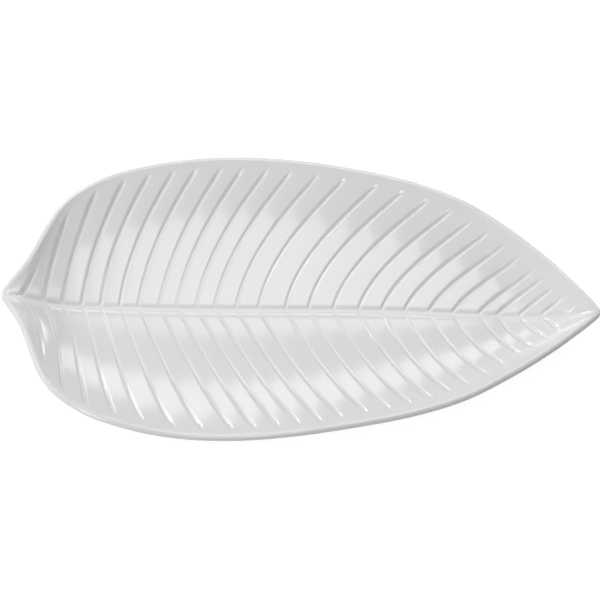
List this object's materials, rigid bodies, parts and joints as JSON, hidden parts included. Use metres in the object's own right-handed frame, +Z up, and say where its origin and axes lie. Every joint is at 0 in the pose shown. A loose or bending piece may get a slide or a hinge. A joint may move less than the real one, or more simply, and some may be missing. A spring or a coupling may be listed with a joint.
{
  "type": "leaf shaped plate",
  "caption": "Leaf shaped serving platter: a shallow pointed dish with pressed-in veins, a rounded lip and soft pads underneath.",
  "frame": {"origin": "on the table under the middle of the platter's overall box", "axes": "+X along the leaf from its stem to its tip, +Y to the left of that, +Z up"},
  "size_m": [0.48, 0.2676, 0.0298],
  "materials": {
    "melamine": "glossy moulded white",
    "pad": "soft matt"
  },
  "bodies": {
    "root": {"leaf_shell": "melamine", "foot_pad_stem_left": "pad", "foot_pad_stem_right": "pad", "foot_pad_tip_left": "pad", "foot_pad_tip_right": "pad"}
  },
  "joints": []
}
